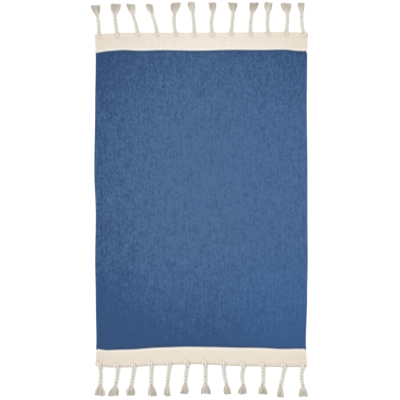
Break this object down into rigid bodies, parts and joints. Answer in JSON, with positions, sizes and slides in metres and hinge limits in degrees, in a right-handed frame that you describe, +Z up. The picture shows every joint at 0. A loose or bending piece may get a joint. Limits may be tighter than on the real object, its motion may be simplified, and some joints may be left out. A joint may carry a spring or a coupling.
{
  "type": "cotton rug",
  "caption": "Flat-woven ribbed cotton rug, plain field with a lighter band and a folded hem at each end, and twisted rope tassels along both hems.",
  "frame": {"origin": "on the floor under the middle of the rug's outline, tassels included", "axes": "+Z up from the floor, +Y along the rug towards its top end, +X across it to the right"},
  "size_m": [0.7146, 1.3084, 0.0124],
  "materials": {
    "cloth": "matte ribbed cotton weave",
    "yarn": "matte twisted cotton yarn"
  },
  "bodies": {
    "root": {"rug_body": "cloth", "tassel_top_01": "yarn", "tassel_top_02": "yarn", "tassel_top_03": "yarn", "tassel_top_04": "yarn", "tassel_top_05": "yarn", "tassel_top_06": "yarn", "tassel_top_07": "yarn", "tassel_top_08": "yarn", "tassel_top_09": "yarn", "tassel_top_10": "yarn", "tassel_top_11": "yarn", "tassel_top_12": "yarn", "tassel_bottom_01": "yarn", "tassel_bottom_02": "yarn", "tassel_bottom_03": "yarn", "tassel_bottom_04": "yarn", "tassel_bottom_05": "yarn", "tassel_bottom_06": "yarn", "tassel_bottom_07": "yarn", "tassel_bottom_08": "yarn", "tassel_bottom_09": "yarn", "tassel_bottom_10": "yarn", "tassel_bottom_11": "yarn", "tassel_bottom_12": "yarn"}
  },
  "joints": []
}
